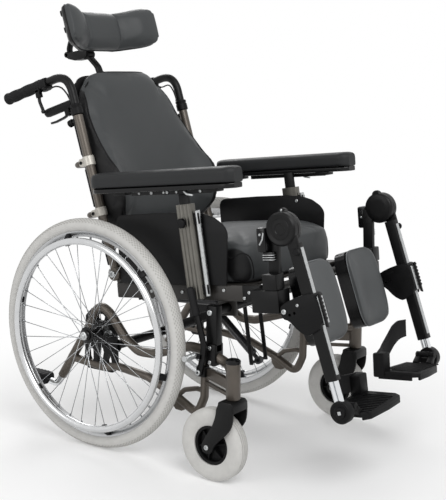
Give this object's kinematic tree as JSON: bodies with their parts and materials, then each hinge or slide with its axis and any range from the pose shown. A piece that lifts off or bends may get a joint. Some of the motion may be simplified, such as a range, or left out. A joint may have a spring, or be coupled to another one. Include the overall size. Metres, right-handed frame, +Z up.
{
  "type": "reclining wheelchair",
  "caption": "Self-propelled wheelchair with tilting seat, reclining contoured back, headrest, height-adjustable armrests and elevating legrests.",
  "frame": {"origin": "on the floor below the middle of the chair's box", "axes": "+Z up, -Y towards the front, +X towards the occupant's left"},
  "size_m": [0.672, 1.146, 1.1675],
  "materials": {
    "black_metal": "satin powder coat",
    "black_plastic": "fine grain",
    "chrome": "bright",
    "frame_taupe": "satin metallic paint",
    "grip_rubber": "matt",
    "handrim_silver": "anodised",
    "pad_vinyl": "coated vinyl",
    "post_grey": "anodised",
    "rail_taupe": "satin metallic paint",
    "rim_silver": "polished",
    "spring_grey": "satin",
    "tyre_grey": "solid, matt",
    "vinyl": "coated vinyl"
  },
  "bodies": {
    "chassis": {"side_frame_left": "frame_taupe", "side_frame_right": "frame_taupe", "cross_frame": "black_metal", "tipping_lever_right": "chrome", "rear_axle_left": "rim_silver", "rear_axle_right": "rim_silver"},
    "rear_wheel_left": {"rear_wheel_left": "rim_silver", "rear_tyre_left": "tyre_grey", "handrim_left": "handrim_silver"},
    "rear_wheel_right": {"rear_wheel_right": "rim_silver", "rear_tyre_right": "tyre_grey", "handrim_right": "handrim_silver"},
    "castor_fork_left": {"castor_fork_left": "black_metal"},
    "castor_wheel_left": {"castor_tyre_left": "tyre_grey", "castor_hub_left": "black_plastic"},
    "castor_fork_right": {"castor_fork_right": "black_metal"},
    "castor_wheel_right": {"castor_tyre_right": "tyre_grey", "castor_hub_right": "black_plastic"},
    "parking_brake_left": {"parking_brake_lever_left": "black_metal"},
    "parking_brake_right": {"parking_brake_lever_right": "black_metal"},
    "seat": {"seat_frame": "rail_taupe", "seat_cushion": "vinyl", "side_panel_left": "black_plastic", "side_panel_right": "black_plastic", "armrest_post_left": "post_grey", "armrest_post_right": "post_grey"},
    "armrest_left": {"armrest_carrier_left": "black_metal", "armrest_pad_left": "pad_vinyl"},
    "armrest_knob_left": {"armrest_knob_left": "black_plastic"},
    "armrest_right": {"armrest_carrier_right": "black_metal", "armrest_pad_right": "pad_vinyl"},
    "armrest_knob_right": {"armrest_knob_right": "black_plastic"},
    "back": {"back_frame": "frame_taupe", "back_shell": "black_plastic", "back_cushion": "vinyl", "push_handle_left": "black_metal", "push_grip_left": "grip_rubber", "push_handle_right": "black_metal", "push_grip_right": "grip_rubber"},
    "headrest_mast": {"headrest_mast": "black_metal"},
    "headrest": {"headrest_pad": "vinyl"},
    "hand_lever_left": {"hand_lever_left": "black_plastic"},
    "hand_lever_right": {"hand_lever_right": "black_plastic"},
    "release_lever_right": {"release_lever_right": "black_plastic"},
    "legrest_left": {"legrest_hanger_left": "black_metal"},
    "leg_left": {"leg_tube_left": "black_metal", "calf_bracket_left": "black_plastic"},
    "calf_pad_left": {"calf_pad_left": "pad_vinyl"},
    "foot_tube_left": {"foot_tube_left": "chrome"},
    "footplate_left": {"footplate_left": "black_plastic"},
    "legrest_right": {"legrest_hanger_right": "black_metal"},
    "leg_right": {"leg_tube_right": "black_metal", "calf_bracket_right": "black_plastic"},
    "calf_pad_right": {"calf_pad_right": "pad_vinyl"},
    "foot_tube_right": {"foot_tube_right": "chrome"},
    "footplate_right": {"footplate_right": "black_plastic"},
    "tilt_spring_cylinder": {"tilt_spring_cylinder": "spring_grey"},
    "tilt_spring_rod": {"tilt_spring_rod": "chrome"},
    "recline_spring_cylinder": {"recline_spring_cylinder": "spring_grey"},
    "recline_spring_rod": {"recline_spring_rod": "chrome"}
  },
  "joints": [
    {"name": "rear_wheel_spin_left", "type": "hinge", "parent": "chassis", "child": "rear_wheel_left", "pos_m": [0.2928, 0.2057, 0.305], "axis": [1, 0, 0], "continuous": true},
    {"name": "rear_wheel_spin_right", "type": "hinge", "parent": "chassis", "child": "rear_wheel_right", "pos_m": [-0.2928, 0.2057, 0.305], "axis": [1, 0, 0], "continuous": true},
    {"name": "castor_swivel_left", "type": "hinge", "parent": "chassis", "child": "castor_fork_left", "pos_m": [0.3, -0.2519, 0.26], "axis": [0, 0, 1], "continuous": true},
    {"name": "castor_spin_left", "type": "hinge", "parent": "castor_fork_left", "child": "castor_wheel_left", "pos_m": [0.3, -0.1969, 0.091], "axis": [1, 0, 0], "continuous": true},
    {"name": "castor_swivel_right", "type": "hinge", "parent": "chassis", "child": "castor_fork_right", "pos_m": [-0.3, -0.2519, 0.26], "axis": [0, 0, 1], "continuous": true},
    {"name": "castor_spin_right", "type": "hinge", "parent": "castor_fork_right", "child": "castor_wheel_right", "pos_m": [-0.3, -0.1969, 0.091], "axis": [1, 0, 0], "continuous": true},
    {"name": "parking_brake_swing_left", "type": "hinge", "parent": "chassis", "child": "parking_brake_left", "pos_m": [0.2618, -0.1243, 0.25], "axis": [1, 0, 0], "range_deg": [0, 32]},
    {"name": "parking_brake_swing_right", "type": "hinge", "parent": "chassis", "child": "parking_brake_right", "pos_m": [-0.2618, -0.1243, 0.25], "axis": [1, 0, 0], "range_deg": [0, 32]},
    {"name": "seat_tilt", "type": "hinge", "parent": "chassis", "child": "seat", "pos_m": [0, -0.1443, 0.4], "axis": [-1, 0, 0], "range_deg": [-5, 10]},
    {"name": "armrest_height_left", "type": "slide", "parent": "seat", "child": "armrest_left", "axis": [0, 0.1642, 0.9864], "range_m": [0, 0.07]},
    {"name": "armrest_knob_turn_left", "type": "hinge", "parent": "seat", "child": "armrest_knob_left", "pos_m": [0.2525, -0.06909, 0.61596], "axis": [1, 0, 0], "range_deg": [0, 180]},
    {"name": "armrest_height_right", "type": "slide", "parent": "seat", "child": "armrest_right", "axis": [0, 0.1642, 0.9864], "range_m": [0, 0.07]},
    {"name": "armrest_knob_turn_right", "type": "hinge", "parent": "seat", "child": "armrest_knob_right", "pos_m": [-0.2525, -0.06909, 0.61596], "axis": [1, 0, 0], "range_deg": [0, 180]},
    {"name": "back_recline", "type": "hinge", "parent": "seat", "child": "back", "pos_m": [0, 0.17803, 0.45855], "axis": [-1, 0, 0], "range_deg": [-5, 35]},
    {"name": "headrest_height", "type": "slide", "parent": "back", "child": "headrest_mast", "axis": [0, 0.2924, 0.9563], "range_m": [-0.02, 0.06]},
    {"name": "headrest_tilt", "type": "hinge", "parent": "headrest_mast", "child": "headrest", "pos_m": [0, 0.49384, 1.09817], "axis": [1, 0, 0], "range_deg": [-20, 8]},
    {"name": "hand_lever_squeeze_left", "type": "hinge", "parent": "back", "child": "hand_lever_left", "pos_m": [0.2445, 0.42541, 0.91883], "axis": [1, 0, 0], "range_deg": [0, 14], "stiffness_Nm_per_rad": 0.4, "springref_deg": -14.32},
    {"name": "hand_lever_squeeze_right", "type": "hinge", "parent": "back", "child": "hand_lever_right", "pos_m": [-0.2445, 0.42541, 0.91883], "axis": [1, 0, 0], "range_deg": [0, 14], "stiffness_Nm_per_rad": 0.4, "springref_deg": -14.32},
    {"name": "release_lever_squeeze_right", "type": "hinge", "parent": "back", "child": "release_lever_right", "pos_m": [-0.225, 0.33595, 0.87247], "axis": [1, 0, 0], "range_deg": [0, 9], "stiffness_Nm_per_rad": 0.4, "springref_deg": -14.32},
    {"name": "legrest_swing_away_left", "type": "hinge", "parent": "seat", "child": "legrest_left", "pos_m": [0.24, -0.32548, 0.47822], "axis": [0, 0.0985, 0.9951], "range_deg": [0, 90]},
    {"name": "legrest_raise_left", "type": "hinge", "parent": "legrest_left", "child": "leg_left", "pos_m": [0, -0.3508, 0.62452], "axis": [-1, 0, 0], "range_deg": [0, 70]},
    {"name": "calf_pad_tilt_left", "type": "hinge", "parent": "leg_left", "child": "calf_pad_left", "pos_m": [0.18, -0.36763, 0.43122], "axis": [1, 0, 0], "range_deg": [-12, 12]},
    {"name": "foot_length_left", "type": "slide", "parent": "leg_left", "child": "foot_tube_left", "axis": [0, -0.3305, -0.9438], "range_m": [-0.015, 0.04]},
    {"name": "footplate_flip_left", "type": "hinge", "parent": "foot_tube_left", "child": "footplate_left", "pos_m": [0.2195, -0.50438, 0.2489], "axis": [0, 0.9945, -0.1045], "range_deg": [0, 75]},
    {"name": "legrest_swing_away_right", "type": "hinge", "parent": "seat", "child": "legrest_right", "pos_m": [-0.24, -0.32548, 0.47822], "axis": [0, -0.0985, -0.9951], "range_deg": [0, 90]},
    {"name": "legrest_raise_right", "type": "hinge", "parent": "legrest_right", "child": "leg_right", "pos_m": [0, -0.3508, 0.62452], "axis": [-1, 0, 0], "range_deg": [0, 70]},
    {"name": "calf_pad_tilt_right", "type": "hinge", "parent": "leg_right", "child": "calf_pad_right", "pos_m": [-0.18, -0.36763, 0.43122], "axis": [1, 0, 0], "range_deg": [-12, 12]},
    {"name": "foot_length_right", "type": "slide", "parent": "leg_right", "child": "foot_tube_right", "axis": [0, -0.3305, -0.9438], "range_m": [-0.015, 0.04]},
    {"name": "footplate_flip_right", "type": "hinge", "parent": "foot_tube_right", "child": "footplate_right", "pos_m": [-0.2195, -0.51231, 0.22625], "axis": [0, -0.9945, 0.1045], "range_deg": [0, 75]},
    {"name": "tilt_spring_turn", "type": "hinge", "parent": "chassis", "child": "tilt_spring_cylinder", "pos_m": [0, -0.1243, 0.222], "axis": [-1, 0, 0], "range_deg": [-5, 8]},
    {"name": "tilt_spring_travel", "type": "slide", "parent": "tilt_spring_cylinder", "child": "tilt_spring_rod", "axis": [0, 0.7654, 0.6436], "range_m": [-0.03, 0.016]},
    {"name": "recline_spring_turn", "type": "hinge", "parent": "seat", "child": "recline_spring_cylinder", "pos_m": [-0.11, -0.09454, 0.39508], "axis": [-1, 0, 0], "range_deg": [-7, 3]},
    {"name": "recline_spring_travel", "type": "slide", "parent": "recline_spring_cylinder", "child": "recline_spring_rod", "axis": [0, 0.9986, -0.0522], "range_m": [-0.052, 0.01]}
  ],
  "couplings": [
    {"joint": "tilt_spring_turn", "follows": "seat_tilt", "ratio": 0.628},
    {"joint": "tilt_spring_travel", "follows": "seat_tilt", "m_per_rad": -0.1515},
    {"joint": "recline_spring_turn", "follows": "back_recline", "ratio": -0.092},
    {"joint": "recline_spring_travel", "follows": "back_recline", "m_per_rad": -0.0725}
  ]
}
